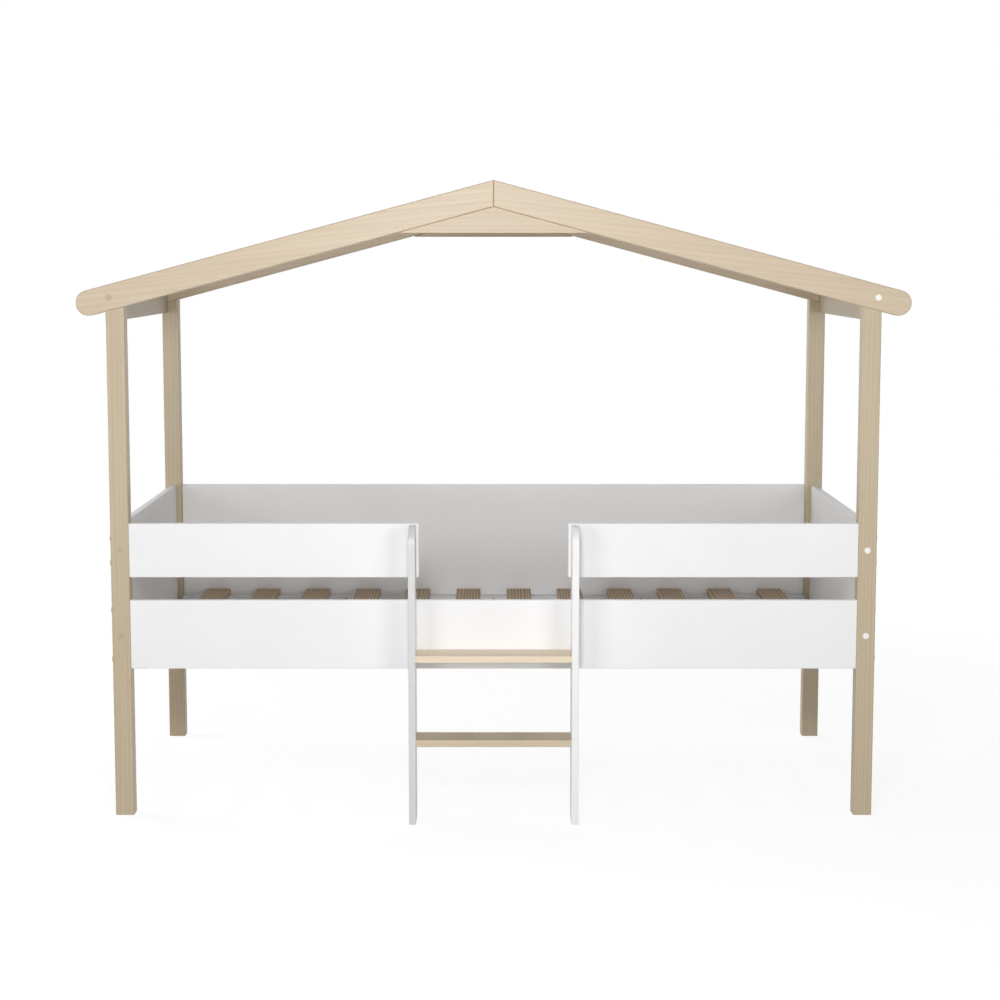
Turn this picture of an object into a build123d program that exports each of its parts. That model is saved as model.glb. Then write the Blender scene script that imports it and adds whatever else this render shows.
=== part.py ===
from build123d import *
from math import cos, radians, sin, tan
import os

# Mid-sleeper house bed, in millimetres. +Z is up, +X runs along the bed, and the ladder is on the -Y side.
# The origin is on the floor, at the middle of the whole outline.
# A side of 1 is the right-hand end (+X) and -1 the left. A face of 1 is the back (+Y) and -1 the front.

# Posts
bed_length = 1980.0
frame_depth = 957.0
post_width = 48.0
post_depth = 45.0
post_rounding = 3.0
foot_rounding = 1.0

# House frame
roof_slope = 15.0
apex_height = 1580.0
rafter_width = 65.0
rafter_overhang = 76.0
rafter_rounding = 3.0
gusset_drop = 66.0
gusset_thickness = 18.0
gusset_setback = 4.0
gusset_nose = 3.0
gusset_rounding = 0.5
gusset_joint_rounding = 1.5
eaves_beam_height = 85.0
eaves_beam_above_bolt = 23.5

# Boards
board_thickness = 18.0
board_rounding = 1.5
board_bottom = 390.0
board_top = 770.0
side_rail_height = 180.0
guard_rail_height = 140.0

# Slatted base
slat_count = 12
slat_width = 72.0
slat_thickness = 18.0
slat_end_space = 85.0
slat_end_gap = 2.0
slat_top_above_boards = 62.0
slat_rounding = 1.5
ledger_depth = 40.0
ledger_height = 20.0
ledger_end_gap = 1.0
ledger_rounding = 1.0

# Ladder
ladder_depth = 95.0
ladder_below_guard = 2.5
ladder_clear_width = 400.0
guard_overhang = 7.0
upright_thickness = 18.0
upright_corner = 42.0
upright_rounding = 1.5
step_thickness = 18.0
step_rounding = 2.5
step_rise = 219.0
upper_step_above_boards = 51.0

# Connector bolts and barrel nuts
bolt_diameter = 6.0
bolt_hole_diameter = 7.0
bolt_head_diameter = 16.0
bolt_head_thickness = 1.5
bolt_head_rounding = 0.6
bolt_socket = 4.0
bolt_socket_depth = 3.0
bolt_overrun = 6.0
bolt_hole_overrun = 2.0
nut_diameter = 10.0
nut_length = 14.0
nut_setback = 28.0
nut_clearance = 0.3
nut_thread_clearance = 0.1
nut_slot_width = 1.2
nut_slot_depth = 1.5
end_board_lower_bolt_inset = 86.0
end_board_upper_bolt_inset = 70.0
guard_bolt_inset = 38.0
side_bolt_inset = 26.0
back_panel_bolt_inset = 46.0

# Wood screws
screw_clearance = 0.2
screw_recess_share = 0.5
screw_recess_width = 0.9
screw_recess_depth = 1.6
thin_screw_diameter = 4.0
thin_screw_head = 7.5
thick_screw_diameter = 5.0
thick_screw_head = 9.5
slat_screw_tip_cover = 5.0
ledger_screw_tip_cover = 8.0
gusset_screw_length = 60.0
ladder_screw_length = 50.0
ledger_screw_inset = 50.0
ledger_screw_count = 5
gusset_screw_inset = 72.0
gusset_screw_spacing = 50.0
step_screw_inset = 20.0
guard_ladder_screw_inset = 35.0
side_ladder_screw_inset = 30.0

# Dowels
dowel_diameter = 8.0
dowel_length = 38.0
dowel_clearance = 0.2
dowel_end_gap = 1.0
post_dowel_spacing = 22.0
apex_dowel_spacing = 26.0

# Places worked out from the sizes above
half_length = bed_length / 2
front_y = (ladder_depth - frame_depth - bolt_head_thickness) / 2
middle_y = front_y + frame_depth / 2
half_depth = frame_depth / 2
post_x = half_length - post_width / 2
between_posts = half_length - post_width
rafter_reach = half_length + rafter_overhang
rafter_height = rafter_width / cos(radians(roof_slope))
beam_x = half_length - board_thickness / 2
side_rail_top = board_bottom + side_rail_height
guard_rail_bottom = board_top - guard_rail_height
slat_top = board_bottom + slat_top_above_boards
ledger_top = slat_top - slat_thickness
ledger_bottom = ledger_top - ledger_height
slat_run = 2 * (post_x - board_thickness / 2 - slat_end_space) - slat_width
slat_pitch = slat_run / (slat_count - 1)
ledger_screw_pitch = 2 * (between_posts - ledger_screw_inset) / (ledger_screw_count - 1)
ladder_front_y = front_y - ladder_depth
ladder_height = board_top - ladder_below_guard
upper_step_top = board_bottom + upper_step_above_boards
step_tops = {"lower": upper_step_top - step_rise, "upper": upper_step_top}
gusset_nose_x = (gusset_drop - gusset_nose) / tan(radians(roof_slope))
upright_x = ladder_clear_width / 2 + upright_thickness / 2
depth_bolt_length = post_depth + nut_setback + bolt_overrun
width_bolt_length = post_width + nut_setback + bolt_overrun
slat_screw_length = slat_thickness + ledger_height - slat_screw_tip_cover
ledger_screw_length = ledger_depth + board_thickness - ledger_screw_tip_cover
slat_screw = (thin_screw_diameter, thin_screw_head, slat_screw_length)
ledger_screw = (thin_screw_diameter, thin_screw_head, ledger_screw_length)
gusset_screw = (thin_screw_diameter, thin_screw_head, gusset_screw_length)
ladder_screw = (thick_screw_diameter, thick_screw_head, ladder_screw_length)


def face_y(face, inset=0.0):
    """The front (-1) or back (1) face of the frame, moved inwards by an inset."""
    return middle_y + face * (half_depth - inset)


def rafter_underside(x):
    """Height of the rafters' lower edge at a distance from the middle."""
    return apex_height - abs(x) * tan(radians(roof_slope))


def pair(middle, spacing):
    """Two values, the same distance either side of a middle."""
    return [middle - spacing / 2, middle + spacing / 2]


def places(direction, points, along=None):
    """Places at the points, each with its +Z along a direction and, if given, its +X along another."""
    return [Plane(origin=point, x_dir=along, z_dir=direction).location for point in points]


eaves_bolt_height = rafter_underside(beam_x) + rafter_height / 2
eaves_beam_top = eaves_bolt_height + eaves_beam_above_bolt

# Where the fasteners go. Each place is on the face that the fastener enters, with +Z pointing out of it.
end_board_bolt_heights = [board_bottom + end_board_lower_bolt_inset, board_top - end_board_upper_bolt_inset]
guard_bolt_heights = [guard_rail_bottom + guard_bolt_inset, board_top - guard_bolt_inset]
side_bolt_heights = [board_bottom + side_bolt_inset, side_rail_top - side_bolt_inset]
front_bolt_heights = guard_bolt_heights + side_bolt_heights
back_bolt_heights = [
    board_bottom + back_panel_bolt_inset,
    (board_bottom + board_top) / 2,
    board_top - back_panel_bolt_inset,
]
guard_ladder_heights = [guard_rail_bottom + guard_ladder_screw_inset, board_top - guard_ladder_screw_inset]
side_ladder_heights = [upper_step_top + side_ladder_screw_inset, side_rail_top - side_ladder_screw_inset]


def end_board_bolts(side, face):
    """Bolts that run along Y through a post into the end of its end board."""
    points = [(side * post_x, face_y(face), height) for height in end_board_bolt_heights]
    return places((0, face, 0), points)


def rail_bolts(side, face, heights):
    """Bolts that run along X through a post into a rail at the front or the panel at the back."""
    rail_y = face_y(face, board_thickness / 2)
    return places((side, 0, 0), [(side * half_length, rail_y, height) for height in heights])


def post_rail_bolts(side, face):
    """All the bolts that run along X through one post."""
    return rail_bolts(side, face, front_bolt_heights if face < 0 else back_bolt_heights)


def eaves_bolt(side, face):
    """The bolt that runs along Y through a rafter into the end of its eaves beam."""
    return places((0, face, 0), [(side * beam_x, face_y(face), eaves_bolt_height)])


def nuts_from_side(side, x, heights):
    """Barrel nuts let in along X, for bolts that run along Y from both faces of the frame."""
    nut_ys = [face_y(face, post_depth + nut_setback) for face in (-1, 1)]
    points = [(side * x, y, height) for y in nut_ys for height in heights]
    return places((side, 0, 0), points, along=(0, 1, 0))


def nuts_from_back(side, y, heights):
    """Barrel nuts let in from the back, for bolts that run along X."""
    points = [(side * (between_posts - nut_setback), y, height) for height in heights]
    return places((0, 1, 0), points, along=(1, 0, 0))


def end_board_nuts(side):
    return nuts_from_side(side, post_x + board_thickness / 2, end_board_bolt_heights)


def eaves_nuts(side):
    return nuts_from_side(side, half_length, [eaves_bolt_height])


def front_rail_nuts(side, heights):
    return nuts_from_back(side, face_y(-1, board_thickness), heights)


def back_panel_nuts(side):
    return nuts_from_back(side, face_y(1), back_bolt_heights)


def post_dowels(side, face):
    """Dowels square to the slope, half in the top of a post and half in the rafter."""
    slope = radians(roof_slope)
    xs = pair(post_x, post_dowel_spacing)
    points = [(side * x, face_y(face, post_depth / 2), rafter_underside(x)) for x in xs]
    return places((side * sin(slope), 0, cos(slope)), points)


def apex_dowels(face):
    """Dowels along X, half in each rafter of a pair."""
    heights = pair(apex_height + rafter_height / 2, apex_dowel_spacing)
    return places((1, 0, 0), [(0, face_y(face, post_depth / 2), height) for height in heights])


def gusset_screws(face, sides=(-1, 1)):
    """Screws up through the lower edge of a gusset into the rafters."""
    y = face_y(face, gusset_setback + gusset_thickness / 2)
    outer_x = gusset_nose_x - gusset_screw_inset
    xs = (outer_x - gusset_screw_spacing, outer_x)
    points = [(side * x, y, apex_height - gusset_drop) for side in sides for x in xs]
    return places((0, 0, -1), points)


def ledger_screws(face):
    """Screws through a ledger into the board behind it."""
    first = -ledger_screw_pitch * (ledger_screw_count - 1) / 2
    y = face_y(face, board_thickness + ledger_depth)
    height = ledger_top - ledger_height / 2
    points = [(first + index * ledger_screw_pitch, y, height) for index in range(ledger_screw_count)]
    return places((0, -face, 0), points)


def slat_x(index):
    """Middle of a slat, counted from the left."""
    return (index - (slat_count - 1) / 2) * slat_pitch


def slat_screws(indices, faces=(-1, 1)):
    """Screws down through both ends of the slats into the ledgers."""
    ys = [face_y(face, board_thickness + ledger_depth / 2) for face in faces]
    return places((0, 0, 1), [(slat_x(index), y, slat_top) for index in indices for y in ys])


def ladder_screws(side, heights):
    """Screws from inside the bed through a rail into a ladder upright."""
    return places((0, 1, 0), [(side * upright_x, face_y(-1, board_thickness), height) for height in heights])


def step_screws(side, step_top):
    """Screws through a ladder upright into the end of a step."""
    ys = (ladder_front_y + step_screw_inset, front_y - step_screw_inset)
    x = side * (ladder_clear_width / 2 + upright_thickness)
    return places((side, 0, 0), [(x, y, step_top - step_thickness / 2) for y in ys])


bolt_hole_radius = bolt_hole_diameter / 2
nut_hole_radius = nut_diameter / 2 + nut_clearance
nut_hole_depth = board_thickness / 2 + nut_length / 2 + nut_clearance
dowel_hole_radius = dowel_diameter / 2 + dowel_clearance
dowel_hole_depth = dowel_length / 2 + dowel_end_gap


def head_hole(screw):
    """A countersunk hole for a wood screw, in the piece that its head pulls on."""
    diameter, head_diameter, length = screw
    CounterSinkHole(
        radius=diameter / 2 + screw_clearance,
        counter_sink_radius=head_diameter / 2 + screw_clearance,
        depth=length + screw_clearance,
        counter_sink_angle=90,
    )


def tip_hole(screw):
    """A plain hole for a wood screw, in the piece that its tip holds in."""
    diameter, _, length = screw
    Hole(radius=diameter / 2 + screw_clearance, depth=length + screw_clearance)


def board(x_span, y_span, z_span, rounding):
    """A straight piece between two planes on each axis, with every edge rounded."""
    with BuildPart() as piece:
        with BuildSketch(Plane.XY.offset(z_span[0])):
            with Locations((sum(x_span) / 2, sum(y_span) / 2)):
                Rectangle(abs(x_span[1] - x_span[0]), abs(y_span[1] - y_span[0]))
        extrude(amount=z_span[1] - z_span[0])
        fillet(piece.edges(), radius=rounding)
    return piece.part


def connector_bolt(length):
    """A flat-headed bolt with a hexagonal socket. It runs down from the underside of its head."""
    with BuildPart() as bolt:
        with BuildSketch():
            Circle(bolt_diameter / 2)
        extrude(amount=-length)
        with BuildSketch():
            Circle(bolt_head_diameter / 2)
        extrude(amount=bolt_head_thickness)
        fillet(bolt.faces().sort_by(Axis.Z)[-1].edges(), radius=bolt_head_rounding)
        with BuildSketch(Plane.XY.offset(bolt_head_thickness)):
            RegularPolygon(radius=bolt_socket / 2, side_count=6, major_radius=False)
        extrude(amount=-bolt_socket_depth, mode=Mode.SUBTRACT)
    return bolt.part


def barrel_nut():
    """A round nut let into the face of a board, with a hole along X at half the board's thickness."""
    nut_top = (nut_length - board_thickness) / 2
    with BuildPart() as nut:
        with BuildSketch(Plane.XY.offset(nut_top)):
            Circle(nut_diameter / 2)
        extrude(amount=-nut_length)
        with Locations(Plane(origin=(0, 0, -board_thickness / 2), z_dir=(1, 0, 0)).location):
            Hole(radius=bolt_diameter / 2 + nut_thread_clearance, depth=nut_diameter)
        with BuildSketch(Plane.XY.offset(nut_top)):
            Rectangle(nut_diameter + nut_clearance, nut_slot_width)
        extrude(amount=-nut_slot_depth, mode=Mode.SUBTRACT)
    return nut.part


def wood_screw(screw):
    """A countersunk screw with a cross recess and a pointed tip. It runs down from the top of its head."""
    diameter, head_diameter, length = screw
    shank = diameter / 2
    head = head_diameter / 2
    with BuildPart() as piece:
        with BuildSketch(Plane.XZ):
            with BuildLine():
                Polyline(
                    (0, 0),
                    (head, 0),
                    (shank, shank - head),
                    (shank, diameter - length),
                    (0, -length),
                    close=True,
                )
            make_face()
        revolve(axis=Axis.Z)
        with BuildSketch():
            Rectangle(head_diameter * screw_recess_share, screw_recess_width)
            Rectangle(screw_recess_width, head_diameter * screw_recess_share)
        extrude(amount=-screw_recess_depth, mode=Mode.SUBTRACT)
    return piece.part


def post(side, face):
    """A post that stands on the floor, with its top cut to the slope of the roof."""
    inner_x = side * between_posts
    outer_x = side * half_length
    with BuildPart() as piece:
        with BuildSketch(Plane.XZ.offset(-face_y(face))):
            with BuildLine():
                Polyline(
                    (inner_x, 0),
                    (outer_x, 0),
                    (outer_x, rafter_underside(outer_x)),
                    (inner_x, rafter_underside(inner_x)),
                    close=True,
                )
            make_face()
        extrude(amount=face * post_depth)
        fillet(piece.edges().filter_by(Axis.Z), radius=post_rounding)
        fillet(piece.faces().sort_by(Axis.Z)[0].edges(), radius=foot_rounding)
        with Locations(*end_board_bolts(side, face)):
            Hole(radius=bolt_hole_radius, depth=post_depth)
        with Locations(*post_rail_bolts(side, face)):
            Hole(radius=bolt_hole_radius, depth=post_width)
        with Locations(*post_dowels(side, face)):
            Hole(radius=dowel_hole_radius, depth=dowel_hole_depth)
    return piece


def rafter(side, face):
    """A rafter with a mitred top end and a round lower end, flush with the faces of the post under it."""
    slope = radians(roof_slope)
    tip_radius = rafter_width / 2
    tip_x = rafter_reach - tip_radius
    tip_z = rafter_underside(tip_x) + rafter_height / 2
    rise = tip_radius * cos(slope)
    run = tip_radius * sin(slope)
    upper = (side * (tip_x + run), tip_z + rise)
    outer = (side * (tip_x + rise), tip_z - run)
    lower = (side * (tip_x - run), tip_z - rise)
    with BuildPart() as piece:
        with BuildSketch(Plane.XZ.offset(-face_y(face))):
            with BuildLine():
                Polyline(lower, (0, apex_height), (0, apex_height + rafter_height), upper)
                ThreePointArc(upper, outer, lower)
            make_face()
        extrude(amount=face * post_depth)
        fillet(piece.faces().filter_by(Axis.Y).edges(), radius=rafter_rounding)
        with Locations(*eaves_bolt(side, face)):
            Hole(radius=bolt_hole_radius, depth=post_depth)
        with Locations(*post_dowels(side, face), *apex_dowels(face)):
            Hole(radius=dowel_hole_radius, depth=dowel_hole_depth)
        with Locations(*gusset_screws(face, [side])):
            tip_hole(gusset_screw)
    return piece


def gusset(face):
    """The triangular plate under the apex, with its thin tips cut blunt."""
    low = apex_height - gusset_drop
    with BuildPart() as piece:
        with BuildSketch(Plane.XZ.offset(-face_y(face, gusset_setback))):
            with BuildLine():
                Polyline(
                    (-gusset_nose_x, low),
                    (gusset_nose_x, low),
                    (gusset_nose_x, low + gusset_nose),
                    (0, apex_height),
                    (-gusset_nose_x, low + gusset_nose),
                    close=True,
                )
            make_face()
        extrude(amount=face * gusset_thickness)
        fillet(piece.faces().sort_by(Axis.Z)[0].edges().filter_by(Axis.X), radius=gusset_rounding)
        sloping_faces = piece.faces().group_by(Axis.Z)[-1]
        fillet(sloping_faces.edges().group_by(SortBy.LENGTH)[-1], radius=gusset_joint_rounding)
        with Locations(*gusset_screws(face)):
            head_hole(gusset_screw)
    return piece


def eaves_beam(side):
    """The board between the front and back of the house frame, flush with the outer faces of the posts."""
    x_span = (side * (half_length - board_thickness), side * half_length)
    y_span = (face_y(-1, post_depth), face_y(1, post_depth))
    z_span = (eaves_beam_top - eaves_beam_height, eaves_beam_top)
    blank = board(x_span, y_span, z_span, board_rounding)
    with BuildPart() as piece:
        add(blank)
        for face in (-1, 1):
            with Locations(*eaves_bolt(side, face)):
                Hole(radius=bolt_hole_radius, depth=depth_bolt_length + bolt_hole_overrun)
        with Locations(*eaves_nuts(side)):
            Hole(radius=nut_hole_radius, depth=nut_hole_depth)
    return piece


def end_board(side):
    """The white board across an end, in the middle of the posts' width."""
    x_span = (side * (post_x - board_thickness / 2), side * (post_x + board_thickness / 2))
    y_span = (face_y(-1, post_depth), face_y(1, post_depth))
    blank = board(x_span, y_span, (board_bottom, board_top), board_rounding)
    with BuildPart() as piece:
        add(blank)
        for face in (-1, 1):
            with Locations(*end_board_bolts(side, face)):
                Hole(radius=bolt_hole_radius, depth=depth_bolt_length + bolt_hole_overrun)
        with Locations(*end_board_nuts(side)):
            Hole(radius=nut_hole_radius, depth=nut_hole_depth)
    return piece


def guard_rail(side):
    """A short white rail between a post and the way in at the ladder."""
    x_span = (side * (ladder_clear_width / 2 - guard_overhang), side * between_posts)
    y_span = (face_y(-1), face_y(-1, board_thickness))
    blank = board(x_span, y_span, (guard_rail_bottom, board_top), board_rounding)
    with BuildPart() as piece:
        add(blank)
        with Locations(*rail_bolts(side, -1, guard_bolt_heights)):
            Hole(radius=bolt_hole_radius, depth=width_bolt_length + bolt_hole_overrun)
        with Locations(*front_rail_nuts(side, guard_bolt_heights)):
            Hole(radius=nut_hole_radius, depth=nut_hole_depth)
        with Locations(*ladder_screws(side, guard_ladder_heights)):
            head_hole(ladder_screw)
    return piece


def ledger(face):
    """The batten that carries one end of every slat."""
    half_span = between_posts - ledger_end_gap
    y_span = (face_y(face, board_thickness), face_y(face, board_thickness + ledger_depth))
    blank = board((-half_span, half_span), y_span, (ledger_bottom, ledger_top), ledger_rounding)
    with BuildPart() as piece:
        add(blank)
        with Locations(*ledger_screws(face)):
            head_hole(ledger_screw)
        with Locations(*slat_screws(range(slat_count), [face])):
            tip_hole(slat_screw)
    return piece


def slat(index):
    """One slat of the base, from the front rail to the back panel."""
    x_span = (slat_x(index) - slat_width / 2, slat_x(index) + slat_width / 2)
    inset = board_thickness + slat_end_gap
    blank = board(x_span, (face_y(-1, inset), face_y(1, inset)), (ledger_top, slat_top), slat_rounding)
    with BuildPart() as piece:
        add(blank)
        with Locations(*slat_screws([index])):
            head_hole(slat_screw)
    return piece


def ladder_upright(side):
    """A side of the ladder, from the floor to just below the top of the guard rails."""
    with BuildPart() as piece:
        with BuildSketch(Plane.YZ.offset(side * ladder_clear_width / 2)) as outline:
            with Locations(((ladder_front_y + front_y) / 2, ladder_height / 2)):
                Rectangle(ladder_depth, ladder_height)
            front_top = outline.vertices().group_by(Axis.X)[0].sort_by(Axis.Y)[-1]
            fillet(front_top, radius=upright_corner)
        extrude(amount=side * upright_thickness)
        fillet(piece.faces().filter_by(Axis.X).edges(), radius=upright_rounding)
        with Locations(*ladder_screws(side, guard_ladder_heights + side_ladder_heights)):
            tip_hole(ladder_screw)
        for step_top in step_tops.values():
            with Locations(*step_screws(side, step_top)):
                head_hole(ladder_screw)
    return piece


def ladder_step(step_top):
    """A flat wooden step between the two uprights."""
    half_width = ladder_clear_width / 2
    z_span = (step_top - step_thickness, step_top)
    with BuildPart() as piece:
        with BuildSketch(Plane.YZ.offset(-half_width)):
            with Locations(((ladder_front_y + front_y) / 2, sum(z_span) / 2)):
                RectangleRounded(ladder_depth, step_thickness, step_rounding)
        extrude(amount=2 * half_width)
        for side in (-1, 1):
            with Locations(*step_screws(side, step_top)):
                tip_hole(ladder_screw)
    return piece


def write(piece, name):
    """Label a finished piece and write it as its own file."""
    piece.part.label = name
    export_step(piece.part, f"parts/{name}.step")


os.makedirs("parts", exist_ok=True)
side_names = {-1: "left", 1: "right"}
face_names = {-1: "front", 1: "back"}

# Frame pieces that repeat at each corner, end or face
for side, side_name in side_names.items():
    for face, face_name in face_names.items():
        write(post(side, face), f"post_{face_name}_{side_name}")
        write(rafter(side, face), f"rafter_{face_name}_{side_name}")
    write(eaves_beam(side), f"eaves_beam_{side_name}")
    write(end_board(side), f"end_board_{side_name}")
    write(guard_rail(side), f"guard_rail_{side_name}")
    write(ladder_upright(side), f"ladder_upright_{side_name}")
for face, face_name in face_names.items():
    write(gusset(face), f"gusset_{face_name}")
    write(ledger(face), f"slat_ledger_{face_name}")
for index in range(slat_count):
    write(slat(index), f"slat_{index + 1:02d}")
for step_name, step_top in step_tops.items():
    write(ladder_step(step_top), f"ladder_step_{step_name}")

# The long lower rail at the front
between_span = (-between_posts, between_posts)
side_rail_blank = board(
    between_span, (face_y(-1), face_y(-1, board_thickness)), (board_bottom, side_rail_top), board_rounding
)
with BuildPart() as side_rail:
    add(side_rail_blank)
    for side in (-1, 1):
        with Locations(*rail_bolts(side, -1, side_bolt_heights)):
            Hole(radius=bolt_hole_radius, depth=width_bolt_length + bolt_hole_overrun)
        with Locations(*front_rail_nuts(side, side_bolt_heights)):
            Hole(radius=nut_hole_radius, depth=nut_hole_depth)
        with Locations(*ladder_screws(side, side_ladder_heights)):
            head_hole(ladder_screw)
    with Locations(*ledger_screws(-1)):
        tip_hole(ledger_screw)
write(side_rail, "side_rail_front")

# The tall panel at the back
back_panel_blank = board(
    between_span, (face_y(1, board_thickness), face_y(1)), (board_bottom, board_top), board_rounding
)
with BuildPart() as back_panel:
    add(back_panel_blank)
    for side in (-1, 1):
        with Locations(*rail_bolts(side, 1, back_bolt_heights)):
            Hole(radius=bolt_hole_radius, depth=width_bolt_length + bolt_hole_overrun)
        with Locations(*back_panel_nuts(side)):
            Hole(radius=nut_hole_radius, depth=nut_hole_depth)
    with Locations(*ledger_screws(1)):
        tip_hole(ledger_screw)
write(back_panel, "back_panel")

# Bolts of each end of the bed, whose heads are lacquered alike
depth_bolt = connector_bolt(depth_bolt_length)
width_bolt = connector_bolt(width_bolt_length)
for side, side_name in side_names.items():
    with BuildPart() as bolts:
        for face in (-1, 1):
            with Locations(*end_board_bolts(side, face), *eaves_bolt(side, face)):
                add(depth_bolt)
            with Locations(*post_rail_bolts(side, face)):
                add(width_bolt)
    write(bolts, f"connector_bolts_{side_name}")

# Barrel nuts
single_nut = barrel_nut()
with BuildPart() as barrel_nuts:
    for side in (-1, 1):
        with Locations(
            *end_board_nuts(side),
            *eaves_nuts(side),
            *back_panel_nuts(side),
            *front_rail_nuts(side, front_bolt_heights),
        ):
            add(single_nut)
write(barrel_nuts, "barrel_nuts")

# Dowels
with BuildPart() as dowels:
    for face in (-1, 1):
        for side in (-1, 1):
            with Locations(*post_dowels(side, face)):
                Cylinder(dowel_diameter / 2, dowel_length)
        with Locations(*apex_dowels(face)):
            Cylinder(dowel_diameter / 2, dowel_length)
write(dowels, "dowels")

# Wood screws
single_slat_screw = wood_screw(slat_screw)
single_ledger_screw = wood_screw(ledger_screw)
single_gusset_screw = wood_screw(gusset_screw)
single_ladder_screw = wood_screw(ladder_screw)

with BuildPart() as base_slat_screws:
    with Locations(*slat_screws(range(slat_count))):
        add(single_slat_screw)
write(base_slat_screws, "slat_screws")

with BuildPart() as base_ledger_screws:
    with Locations(*ledger_screws(-1), *ledger_screws(1)):
        add(single_ledger_screw)
write(base_ledger_screws, "ledger_screws")

with BuildPart() as roof_gusset_screws:
    with Locations(*gusset_screws(-1), *gusset_screws(1)):
        add(single_gusset_screw)
write(roof_gusset_screws, "gusset_screws")

with BuildPart() as upright_screws:
    for side in (-1, 1):
        with Locations(*ladder_screws(side, guard_ladder_heights + side_ladder_heights)):
            add(single_ladder_screw)
write(upright_screws, "ladder_screws")

with BuildPart() as tread_screws:
    for side in (-1, 1):
        for step_top in step_tops.values():
            with Locations(*step_screws(side, step_top)):
                add(single_ladder_screw)
write(tread_screws, "step_screws")
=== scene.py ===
from math import pi, radians

import bpy
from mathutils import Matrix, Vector

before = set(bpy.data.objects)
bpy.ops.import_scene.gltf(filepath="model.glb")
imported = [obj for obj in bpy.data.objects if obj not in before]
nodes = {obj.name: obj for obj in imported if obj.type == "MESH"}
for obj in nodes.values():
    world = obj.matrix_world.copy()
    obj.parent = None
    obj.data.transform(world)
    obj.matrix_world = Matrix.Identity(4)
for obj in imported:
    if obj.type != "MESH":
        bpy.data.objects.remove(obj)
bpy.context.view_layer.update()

scene = bpy.context.scene

# Distances are in metres, and colours are linear.
# A grain is the rotation that turns the Z axis to run along the wood.
ALONG_X, ALONG_Y, ALONG_Z = (0, radians(90), 0), (radians(-90), 0, 0), (0, 0, 0)
side_signs = {"left": -1, "right": 1}
face_names = ("front", "back")


# Shader tools

def add_node(tree, kind, inputs=(), **settings):
    """A shader node with its settings, and with values or links on its named or numbered inputs."""
    node = tree.nodes.new(kind)
    for key, value in settings.items():
        setattr(node, key, value)
    for key, value in dict(inputs).items():
        if isinstance(value, bpy.types.NodeSocket):
            tree.links.new(value, node.inputs[key])
        else:
            node.inputs[key].default_value = value
    return node


def new_material(name):
    """An empty node material."""
    material = bpy.data.materials.new(name)
    material.use_nodes = True
    material.node_tree.nodes.clear()
    return material, material.node_tree


def close_material(tree, shader):
    """Send a shader to the material's output."""
    output = add_node(tree, "ShaderNodeOutputMaterial")
    tree.links.new(shader, output.inputs["Surface"])


def dress(material, *names):
    """Give CAD nodes one material."""
    for name in names:
        mesh = nodes[name].data
        mesh.materials.clear()
        mesh.materials.append(material)


def math(tree, operation, first, second=0.0, third=0.0):
    """The result of one arithmetic step."""
    inputs = {0: first, 1: second, 2: third}
    return add_node(tree, "ShaderNodeMath", inputs, operation=operation).outputs[0]


def spread(tree, value, low, high, out_low=0.0, out_high=1.0):
    """A value stretched from one range to another, and kept inside it."""
    return add_node(tree, "ShaderNodeMapRange", {
        "Value": value, "From Min": low, "From Max": high, "To Min": out_low, "To Max": out_high,
    }).outputs["Result"]


def blend_colours(tree, share, first, second):
    """Two colours mixed by a share."""
    node = add_node(tree, "ShaderNodeMix", data_type="RGBA")
    factor, first_colour, second_colour = node.inputs[0], node.inputs[6], node.inputs[7]
    for socket, value in ((factor, share), (first_colour, first), (second_colour, second)):
        if isinstance(value, bpy.types.NodeSocket):
            tree.links.new(value, socket)
        else:
            socket.default_value = (*value, 1)
    return node.outputs[2]


def scaled(colour, share):
    """A colour with all its parts multiplied by a share."""
    return tuple(share * part for part in colour)


def object_space(tree):
    """Places on the piece, which are the part's own coordinates."""
    return add_node(tree, "ShaderNodeTexCoord").outputs["Object"]


def facing(tree, axis):
    """How far a surface faces along an axis, from 0 to 1 on either side."""
    normal = add_node(tree, "ShaderNodeTexCoord").outputs["Normal"]
    return math(tree, "ABSOLUTE", add_node(tree, "ShaderNodeSeparateXYZ", {0: normal}).outputs[axis])


def stretched(tree, place, grain, across, along):
    """A place turned so that Z runs along the grain, in units of a feature's size across and along it."""
    return add_node(tree, "ShaderNodeMapping", {
        "Vector": place, "Rotation": grain, "Scale": (across, across, along),
    }, vector_type="TEXTURE").outputs["Vector"]


def noise(tree, place, detail=2.0, roughness=0.5):
    """Smooth noise of about 0 to 1, with features one unit of the place in size."""
    return add_node(tree, "ShaderNodeTexNoise", {
        "Vector": place, "Scale": 1.0, "Detail": detail, "Roughness": roughness,
    }, normalize=True).outputs["Fac"]


def growth_lines(tree, place, grain, spacing, sway, length):
    """Lines along the grain, evenly spaced but swaying, from 0 to 1."""
    sway_width = 0.04
    turned = stretched(tree, place, grain, across=spacing, along=spacing)
    drift = noise(tree, stretched(tree, place, grain, across=sway_width, along=length), detail=1.0)
    across = add_node(tree, "ShaderNodeSeparateXYZ", {0: turned}).outputs
    phase = math(tree, "ADD", across["X"], across["Y"])
    phase = math(tree, "ADD", phase, math(tree, "MULTIPLY", drift, sway))
    return spread(tree, math(tree, "SINE", math(tree, "MULTIPLY", phase, 2 * pi)), low=-1, high=1)


def pore_flecks(tree, place, grain, length):
    """The wood's short pores, from 0 between them to 1 inside them."""
    pores = noise(tree, stretched(tree, place, grain, across=0.0011, along=length), detail=1.0)
    return spread(tree, pores, low=0.34, high=0.22)


def darkened_pores(tree, flecks, share, colour, deep):
    """A wood's colour with darker pores, by their share."""
    pore_colour = scaled(deep, 0.6)
    return blend_colours(tree, math(tree, "MULTIPLY", flecks, share), colour, pore_colour)


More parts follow.
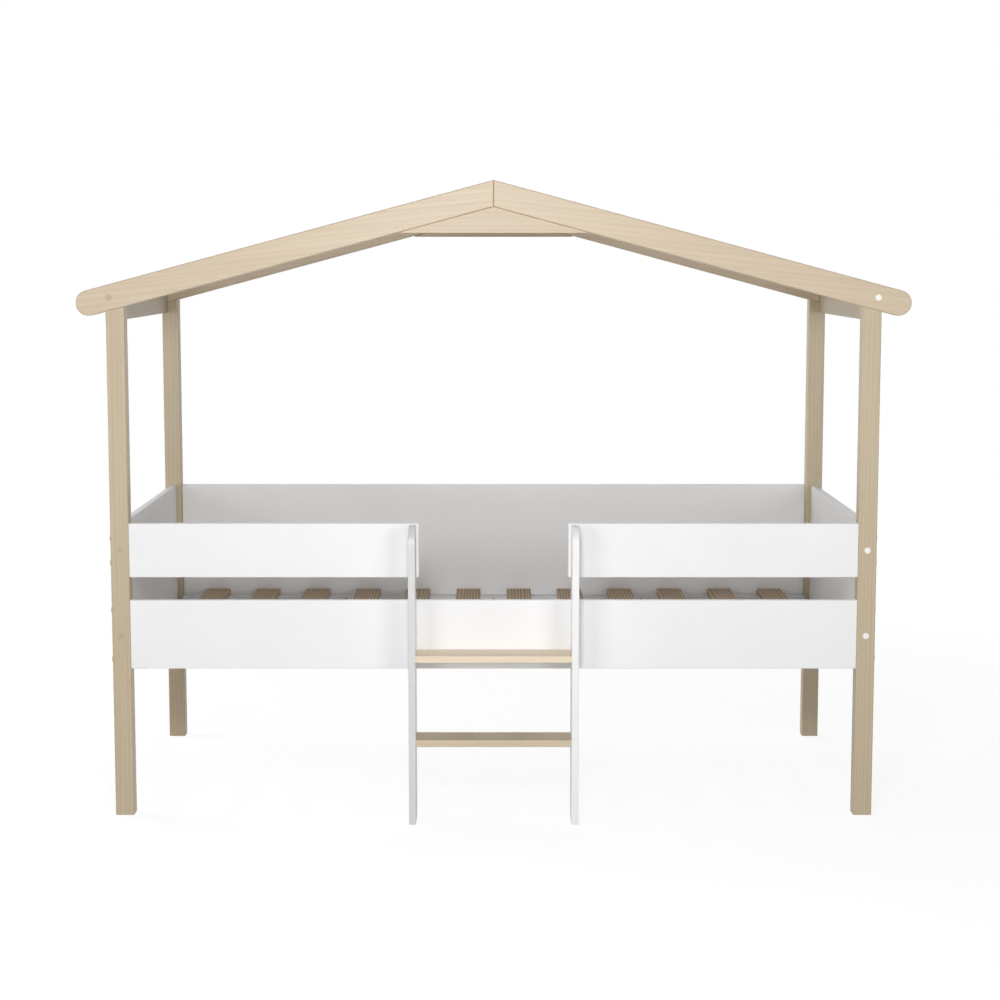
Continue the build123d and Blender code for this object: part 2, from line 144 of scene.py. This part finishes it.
def bumped(tree, height, distance, strength):
    """A normal for relief of a given depth."""
    inputs = {"Height": height, "Distance": distance, "Strength": strength}
    return add_node(tree, "ShaderNodeBump", inputs).outputs[0]


# Materials

def wood(name, grain, pale, deep, line_spacing=0.011, line_share=0.3, roughness=0.46):
    """Fine-grained wood under clear lacquer: growth lines, streaks, soft patches and short pores."""
    patch_share, pore_share, roughness_change = 0.5, 0.35, 0.03
    streak_relief, pore_relief = 0.5, -0.5
    material, tree = new_material(name)
    place = object_space(tree)
    lines = growth_lines(tree, place, grain, line_spacing, sway=1.6, length=0.7)
    streaks = stretched(tree, place, grain, across=0.007, along=0.35)
    streaks = noise(tree, streaks, detail=3.0, roughness=0.65)
    patches = noise(tree, stretched(tree, place, grain, across=0.05, along=0.45), detail=1.0)
    flecks = pore_flecks(tree, place, grain, length=0.018)

    figure = math(tree, "MULTIPLY", streaks, 1 - line_share)
    figure = math(tree, "MULTIPLY_ADD", lines, line_share, figure)
    figure = math(tree, "MULTIPLY_ADD", patches, patch_share, figure)
    colour = blend_colours(tree, spread(tree, figure, low=0.45, high=1.05), deep, pale)
    relief = math(tree, "MULTIPLY", flecks, pore_relief)
    relief = math(tree, "MULTIPLY_ADD", streaks, streak_relief, relief)
    rough, smooth = roughness + roughness_change, roughness - roughness_change
    shader = add_node(tree, "ShaderNodeBsdfPrincipled", {
        "Base Color": darkened_pores(tree, flecks, pore_share, colour, deep),
        "Roughness": spread(tree, streaks, low=0.25, high=0.75, out_low=rough, out_high=smooth),
        "Coat Weight": 0.25,
        "Coat Roughness": 0.42,
        "Normal": bumped(tree, relief, distance=0.0002, strength=0.35),
    })
    close_material(tree, shader.outputs["BSDF"])
    return material


def striped_wood(name, grain, pale, deep, spacing):
    """Plain unlacquered softwood with strong straight stripes along the grain."""
    line_share, fibre_share = 0.62, 0.16
    rough, smooth = 0.68, 0.60
    material, tree = new_material(name)
    place = object_space(tree)
    lines = growth_lines(tree, place, grain, spacing, sway=2.0, length=1.2)
    streaks = stretched(tree, place, grain, across=0.004, along=0.3)
    streaks = noise(tree, streaks, detail=3.0, roughness=0.6)
    fibres = noise(tree, stretched(tree, place, grain, across=0.0008, along=0.012), detail=1.0)

    figure = math(tree, "MULTIPLY", streaks, 1 - line_share)
    figure = math(tree, "MULTIPLY_ADD", lines, line_share, figure)
    figure = math(tree, "MULTIPLY_ADD", fibres, fibre_share, figure)
    shader = add_node(tree, "ShaderNodeBsdfPrincipled", {
        "Base Color": blend_colours(tree, spread(tree, figure, low=0.25, high=0.85), deep, pale),
        "Roughness": spread(tree, streaks, low=0.25, high=0.75, out_low=rough, out_high=smooth),
        "Normal": bumped(tree, figure, distance=0.0004, strength=0.4),
    })
    close_material(tree, shader.outputs["BSDF"])
    return material


def step_wood(name, pale, deep):
    """A step: fine ticks across the flat faces, and long lines along its front edge."""
    tick_noise_share, pore_share = 0.6, 0.3
    rough, smooth = 0.49, 0.43
    material, tree = new_material(name)
    place = object_space(tree)
    tick_noise = noise(tree, stretched(tree, place, ALONG_Y, across=0.004, along=0.05))
    ticks = growth_lines(tree, place, ALONG_Y, spacing=0.0075, sway=1.0, length=0.3)
    ticks = math(tree, "MULTIPLY", ticks, 1 - tick_noise_share)
    ticks = math(tree, "MULTIPLY_ADD", tick_noise, tick_noise_share, ticks)
    ticks = spread(tree, ticks, low=0.0, high=1.0, out_low=0.3, out_high=0.7)
    lines = noise(tree, stretched(tree, place, ALONG_X, across=0.005, along=0.3), roughness=0.6)
    flat = spread(tree, facing(tree, "Z"), low=0.6, high=0.8)
    figure = add_node(tree, "ShaderNodeMix", {0: flat, 2: lines, 3: ticks}).outputs[0]

    colour = blend_colours(tree, spread(tree, figure, low=0.3, high=0.7), deep, pale)
    flecks = pore_flecks(tree, place, ALONG_X, length=0.016)
    shader = add_node(tree, "ShaderNodeBsdfPrincipled", {
        "Base Color": darkened_pores(tree, flecks, pore_share, colour, deep),
        "Roughness": spread(tree, figure, low=0.25, high=0.75, out_low=rough, out_high=smooth),
        "Normal": bumped(tree, figure, distance=0.0002, strength=0.3),
    })
    close_material(tree, shader.outputs["BSDF"])
    return material


def paint(name, colour, painted_shade_edge_share=1.0, shade=0.97, roughness=0.4):
    """Satin paint on a board: an even coat with a soft roller texture and the faintest change of tone.

    The narrow edges between the two faces along X can be greyer than the faces, by their share of the colour:
    painted shade.
    """
    roughness_change = 0.03
    material, tree = new_material(name)
    place = object_space(tree)
    clouds = noise(tree, stretched(tree, place, ALONG_Z, across=0.22, along=0.22), detail=3.0)
    dimples = noise(tree, stretched(tree, place, ALONG_Z, across=0.0016, along=0.0016))
    tone = spread(tree, clouds, low=0.3, high=0.7)
    coat = blend_colours(tree, tone, scaled(colour, shade), colour)
    # Greyer narrow edges are painted shade, not a different paint.
    if painted_shade_edge_share < 1.0:
        painted_shade_edge = spread(tree, facing(tree, "X"), low=0.8, high=0.5)
        coat = blend_colours(tree, painted_shade_edge, coat, scaled(colour, painted_shade_edge_share))
    rough, smooth = roughness + roughness_change, roughness - roughness_change
    shader = add_node(tree, "ShaderNodeBsdfPrincipled", {
        "Base Color": coat,
        "Roughness": spread(tree, clouds, low=0.3, high=0.7, out_low=rough, out_high=smooth),
        "Normal": bumped(tree, dimples, distance=0.00005, strength=0.25),
    })
    close_material(tree, shader.outputs["BSDF"])
    return material


def lacquered_metal(name, colour, roughness):
    """A lacquered bolt head, with a slight orange peel."""
    shade, roughness_change = 0.95, 0.04
    material, tree = new_material(name)
    place = object_space(tree)
    peel = noise(tree, stretched(tree, place, ALONG_Z, across=0.0012, along=0.0012), detail=1.0)
    rough, smooth = roughness + roughness_change, roughness - roughness_change
    shader = add_node(tree, "ShaderNodeBsdfPrincipled", {
        "Base Color": blend_colours(tree, peel, scaled(colour, shade), colour),
        "Roughness": spread(tree, peel, low=0.3, high=0.7, out_low=smooth, out_high=rough),
        "Normal": bumped(tree, peel, distance=0.00005, strength=0.2),
    })
    close_material(tree, shader.outputs["BSDF"])
    return material


def plated_steel(name, dull, bright):
    """Plated steel, with fine brushed scratches and dull spots."""
    smooth, rough = 0.30, 0.46
    material, tree = new_material(name)
    place = object_space(tree)
    spots = noise(tree, stretched(tree, place, ALONG_Z, across=0.002, along=0.002), detail=3.0)
    scratches = noise(tree, stretched(tree, place, ALONG_X, across=0.0002, along=0.004), detail=1.0)
    shader = add_node(tree, "ShaderNodeBsdfPrincipled", {
        "Base Color": blend_colours(tree, spots, dull, bright),
        "Metallic": 1.0,
        "Roughness": spread(tree, spots, low=0.3, high=0.7, out_low=smooth, out_high=rough),
        "Normal": bumped(tree, scratches, distance=0.00005, strength=0.3),
    })
    close_material(tree, shader.outputs["BSDF"])
    return material


# Camera, from the perspective of the photograph
focal_length, sensor_width = 75.05, 36.0        # millimetres
sideways_shift = 0.0064
viewpoint = (0.0, -5.76625, 1.4475)
degrees_down = 6.588

camera_data = bpy.data.cameras.new("camera")
camera_data.lens = focal_length
camera_data.sensor_width = sensor_width
camera_data.shift_x = sideways_shift
camera = bpy.data.objects.new("camera", camera_data)
camera.location = viewpoint
camera.rotation_euler = (radians(90 - degrees_down), 0.0, 0.0)
scene.collection.objects.link(camera)
scene.camera = camera

# House frame and steps: one wood, with each kind of piece's red, green and blue share of its tones, which on
# the rafters, gussets and eaves beams carry painted light and shade
pale_wood = (0.505, 0.420, 0.290)
deep_wood = (0.446, 0.363, 0.241)
post_tint = (1.04, 1.035, 1.02)
# The rafters' shares are raised above the posts': painted light, for the highlight near the apex.
rafter_tint_painted_light = (1.22, 1.185, 1.24)
# The eaves beams' shares are lowered: painted shade, for the shade on their inner faces.
beam_tint_painted_shade = (0.76, 0.74, 0.69)
# The gussets' shares are raised too: painted light, as on the rafters.
gusset_tint_painted_light = (1.15, 1.105, 1.14)
rafter_grain = radians(6)       # how far the rafters' grain leans from the level


def timber(name, grain, tint, **settings):
    """Dress one node of the frame in its wood."""
    pale, deep = (tuple(part * share for part, share in zip(tone, tint)) for tone in (pale_wood, deep_wood))
    dress(wood("wood_" + name, grain, pale, deep, **settings), name)


for side_name, side in side_signs.items():
    sloping = (0, radians(90) + side * rafter_grain, 0)
    for face_name in face_names:
        corner = face_name + "_" + side_name
        timber("post_" + corner, ALONG_Z, post_tint)
        timber("rafter_" + corner, sloping, rafter_tint_painted_light, line_spacing=0.014, line_share=0.2)
    timber("eaves_beam_" + side_name, ALONG_Y, beam_tint_painted_shade)
for face_name in face_names:
    timber("gusset_" + face_name, ALONG_X, gusset_tint_painted_light)
upper_step = step_wood("wood_step_upper", pale=(0.86, 0.735, 0.55), deep=(0.72, 0.605, 0.445))
lower_step = step_wood("wood_step_lower", pale=(0.66, 0.55, 0.40), deep=(0.56, 0.46, 0.33))
dress(upper_step, "ladder_step_upper")
dress(lower_step, "ladder_step_lower")

# Slats and dowels
slat_names = [name for name in nodes if name.startswith("slat_") and name[5:].isdigit()]
slat_wood = striped_wood("wood_slat", ALONG_Y, pale=(0.52, 0.38, 0.25), deep=(0.255, 0.177, 0.11),
                         spacing=0.009)
dowel_wood = striped_wood("wood_dowel", ALONG_Z, pale=(0.60, 0.46, 0.30), deep=(0.48, 0.35, 0.22),
                          spacing=0.003)
dress(slat_wood, *slat_names)
dress(dowel_wood, "dowels")

# White boards: the left ladder upright's narrow edges are greyer, which is painted shade, and the battens a
# duller paint
white = (0.87, 0.87, 0.875)
batten_white = (0.80, 0.80, 0.81)
board_names = ["side_rail_front", "back_panel", "ladder_upright_right"]
for side_name in side_signs:
    board_names += ["end_board_" + side_name, "guard_rail_" + side_name]
dress(paint("paint_board", white), *board_names)
dress(paint("paint_board_painted_shade_edges", white, painted_shade_edge_share=0.76), "ladder_upright_left")
dress(paint("paint_batten", batten_white, shade=0.92, roughness=0.5), "slat_ledger_front", "slat_ledger_back")

# Bolt heads: wood-toned on the left, white on the right
wood_tone = (0.50, 0.40, 0.29)
warm_white = (0.93, 0.92, 0.88)
dress(lacquered_metal("lacquer_wood_tone", wood_tone, roughness=0.4), "connector_bolts_left")
dress(lacquered_metal("lacquer_white", warm_white, roughness=0.35), "connector_bolts_right")

# Nuts and screws
zinc = plated_steel("zinc", dull=(0.46, 0.47, 0.49), bright=(0.66, 0.66, 0.67))
yellow_zinc = plated_steel("yellow_zinc", dull=(0.36, 0.27, 0.14), bright=(0.52, 0.41, 0.23))
# The battens' screws are made nearly black: painted shade, for the shade in their recesses.
screw_steel_painted_shade = plated_steel("screw_steel_painted_shade", dull=(0.08, 0.08, 0.09), bright=(0.14, 0.14, 0.15))
dress(zinc, "barrel_nuts", "gusset_screws", "ladder_screws", "step_screws")
dress(yellow_zinc, "slat_screws")
dress(screw_steel_painted_shade, "ledger_screws")


# Floor: it keeps a faint shadow near the bed, and is plain white further away
floor_reach = 30.0
shadow_fades_from, shadow_ends_at = 1.4, 3.0        # distances from the middle of the bed
bounced_light = 0.5     # the floor's tone for the light that it sends back to the bed
shadow_strength = 0.2
near_glow = 0.875
backdrop_glow = 1.0


def grey(level):
    """A neutral colour."""
    return (level, level, level, 1)


def seen_directly(tree):
    """1 for what the camera sees, straight or by reflection or through glass, and 0 for light on the bed."""
    path = add_node(tree, "ShaderNodeLightPath").outputs
    seen = math(tree, "MAXIMUM", path["Is Camera Ray"], path["Is Glossy Ray"])
    return math(tree, "MAXIMUM", seen, path["Is Transmission Ray"])


floor_mesh = bpy.data.meshes.new("floor")
corners = [(x * floor_reach, y * floor_reach, 0.0) for x, y in ((-1, -1), (1, -1), (1, 1), (-1, 1))]
floor_mesh.from_pydata(corners, [], [(0, 1, 2, 3)])
floor = bpy.data.objects.new("floor", floor_mesh)
scene.collection.objects.link(floor)

material, tree = new_material("floor")
place = object_space(tree)
distance = add_node(tree, "ShaderNodeVectorMath", {0: place}, operation="LENGTH").outputs["Value"]
far = spread(tree, distance, low=shadow_fades_from, high=shadow_ends_at)
paper = add_node(tree, "ShaderNodeBsdfDiffuse", {"Color": grey(bounced_light)}).outputs[0]
faint = add_node(tree, "ShaderNodeBsdfDiffuse", {"Color": grey(shadow_strength)}).outputs[0]
glow = add_node(tree, "ShaderNodeEmission", {"Color": grey(1), "Strength": near_glow}).outputs[0]
near_look = add_node(tree, "ShaderNodeAddShader", {0: faint, 1: glow}).outputs[0]
far_look = add_node(tree, "ShaderNodeEmission", {"Color": grey(1), "Strength": backdrop_glow}).outputs[0]
look = add_node(tree, "ShaderNodeMixShader", {0: far, 1: near_look, 2: far_look}).outputs[0]
mixed = add_node(tree, "ShaderNodeMixShader", {0: seen_directly(tree), 1: paper, 2: look}).outputs[0]
close_material(tree, mixed)
floor_mesh.materials.append(material)

# World
ambient = 0.10
world = bpy.data.worlds.new("world")
scene.world = world
world.use_nodes = True
tree = world.node_tree
tree.nodes.clear()
soft = add_node(tree, "ShaderNodeBackground", {"Color": grey(1), "Strength": ambient}).outputs[0]
backdrop = add_node(tree, "ShaderNodeBackground", {"Color": grey(1), "Strength": backdrop_glow}).outputs[0]
mixed = add_node(tree, "ShaderNodeMixShader", {0: seen_directly(tree), 1: soft, 2: backdrop}).outputs[0]
output = add_node(tree, "ShaderNodeOutputWorld")
tree.links.new(mixed, output.inputs["Surface"])


def soft_box(name, place, target, size, level):
    """A square area lamp. At level 1, a surface that faces it at the target renders about as written."""
    lamp = bpy.data.lights.new(name, "AREA")
    lamp.shape = "SQUARE"
    lamp.size = size
    direction = Vector(target) - Vector(place)
    lamp.energy = level * pi ** 2 * direction.length_squared
    thing = bpy.data.objects.new(name, lamp)
    thing.location = place
    thing.rotation_euler = direction.to_track_quat("-Z", "Y").to_euler()
    scene.collection.objects.link(thing)


# Soft boxes: name, place, target, size, level
soft_boxes = (
    ("key", (-0.15, -3.65, 1.75), (0, 0, 1.2), 0.5, 0.36),
    ("low_front", (0.0, -3.4, 0.35), (0, 0, 0.5), 0.6, 0.03),
    ("left_front", (-3.0, -5.0, 1.2), (0, 0, 0.8), 2.0, 0.20),
    ("right_front", (3.0, -5.0, 1.2), (0, 0, 0.8), 2.0, 0.22),
    ("left_back", (-4.0, 1.5, 1.4), (0, 0, 0.9), 2.0, 0.50),
    ("top_back", (0.0, 2.5, 4.0), (0, 0, 0.9), 2.0, 0.26),
    ("overhead", (0.0, -0.3, 4.5), (0, 0, 0.9), 2.0, 0.05),
)
for values in soft_boxes:
    soft_box(*values)

scene.view_settings.view_transform = "Standard"
